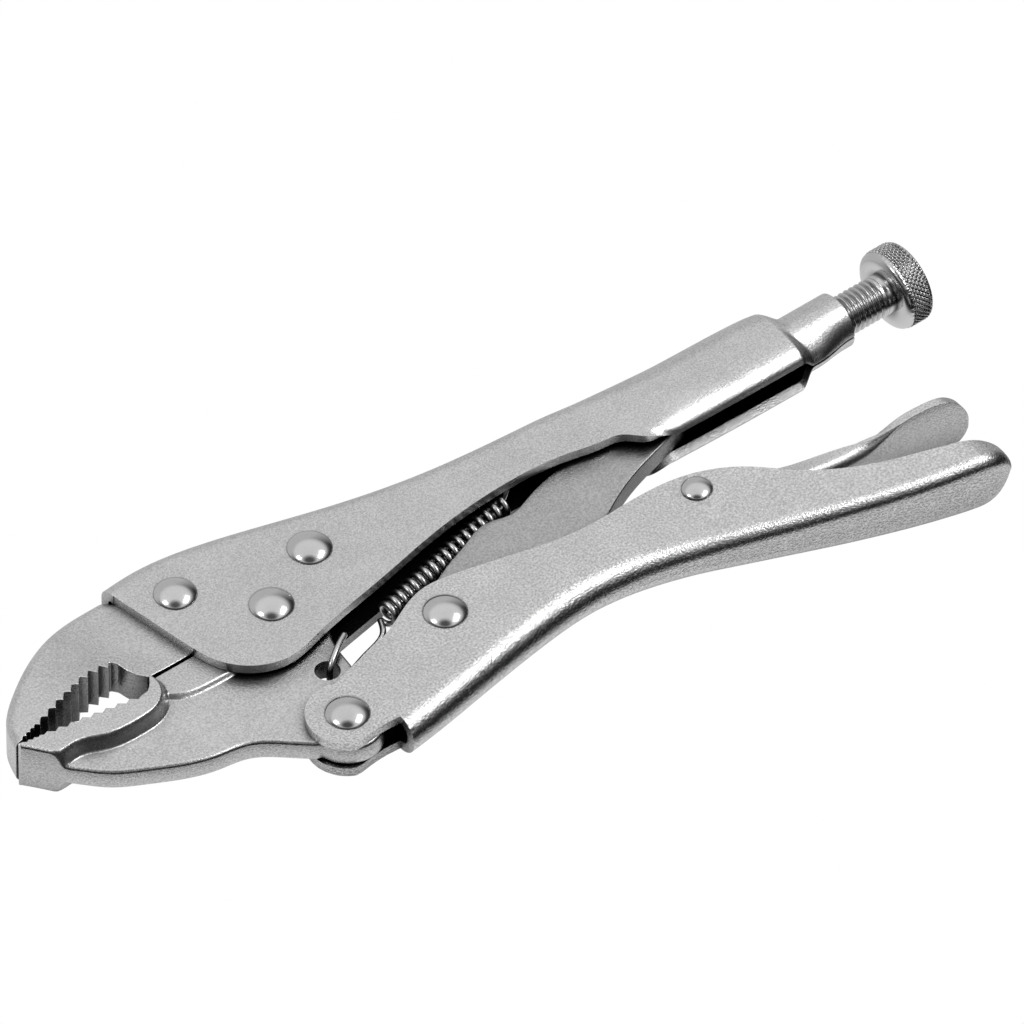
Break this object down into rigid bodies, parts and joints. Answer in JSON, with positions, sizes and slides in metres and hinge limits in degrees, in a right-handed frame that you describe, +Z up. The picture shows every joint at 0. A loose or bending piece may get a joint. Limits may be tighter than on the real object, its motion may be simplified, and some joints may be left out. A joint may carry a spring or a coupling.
{
  "type": "locking pliers",
  "caption": "Curved-jaw locking pliers with riveted sheet-steel handles, toggle link, release lever and a knurled adjusting screw.",
  "frame": {"origin": "centre of the bottom of the box that holds the whole tool lying on its side, jaws closed", "axes": "+X along the adjusting screw from the jaws to the knob, +Y from the lever handle to the fixed handle, +Z up through the thickness, along every pivot"},
  "size_m": [0.2512, 0.095, 0.0198],
  "materials": {
    "plated_sheet": "satin nickel plate over pressed sheet steel",
    "plated_forging": "satin nickel plate over a sand-textured forging",
    "rivet_steel": "polished domed rivet heads",
    "spring_wire": "plain drawn spring wire",
    "screw_steel": "plated cut thread",
    "knurled_knob": "plated diamond knurl"
  },
  "bodies": {
    "fixed_side": {"fixed_handle": "plated_sheet", "fixed_jaw": "plated_forging", "front_jaw_rivet": "rivet_steel", "rear_jaw_rivet": "rivet_steel", "main_pivot_rivet": "rivet_steel", "spring": "spring_wire"},
    "movable_jaw": {"movable_jaw": "plated_forging"},
    "lever": {"lever_handle": "plated_sheet", "lever_pivot_rivet": "rivet_steel", "link_pivot_rivet": "rivet_steel", "release_pin": "rivet_steel"},
    "toggle_link": {"toggle_link": "plated_sheet"},
    "release_lever": {"release_lever": "plated_sheet"},
    "screw": {"adjusting_screw": "screw_steel"},
    "knob": {"screw_knob": "knurled_knob"}
  },
  "joints": [
    {"name": "jaw_pivot", "type": "hinge", "parent": "fixed_side", "child": "movable_jaw", "pos_m": [-0.05425, 0.01869, 0.0099], "axis": [0, 0, 1], "range_deg": [0, 19.1], "deforming": ["spring"]},
    {"name": "lever_swing", "type": "hinge", "parent": "movable_jaw", "child": "lever", "pos_m": [-0.06075, -0.01731, 0.0099], "axis": [0, 0, -1], "range_deg": [0, 59]},
    {"name": "link_pivot", "type": "hinge", "parent": "lever", "child": "toggle_link", "pos_m": [-0.02425, -0.0063, 0.0099], "axis": [0, 0, 1], "range_deg": [0, 58.3]},
    {"name": "release_swing", "type": "hinge", "parent": "lever", "child": "release_lever", "pos_m": [0.04375, -0.0118, 0.0099], "axis": [0, 0, -1], "range_deg": [-5, 8]},
    {"name": "screw_travel", "type": "slide", "parent": "fixed_side", "child": "screw", "axis": [1, 0, 0], "range_m": [0, 0.024]},
    {"name": "knob_turn", "type": "hinge", "parent": "screw", "child": "knob", "pos_m": [0.12175, 0.01419, 0.0099], "axis": [1, 0, 0], "range_deg": [0, 5762]}
  ],
  "couplings": [
    {"joint": "jaw_pivot", "follows": "lever_swing", "ratio": 0.3221},
    {"joint": "link_pivot", "follows": "lever_swing", "ratio": 0.9866},
    {"joint": "knob_turn", "follows": "screw_travel", "rad_per_m": 4188.8}
  ]
}
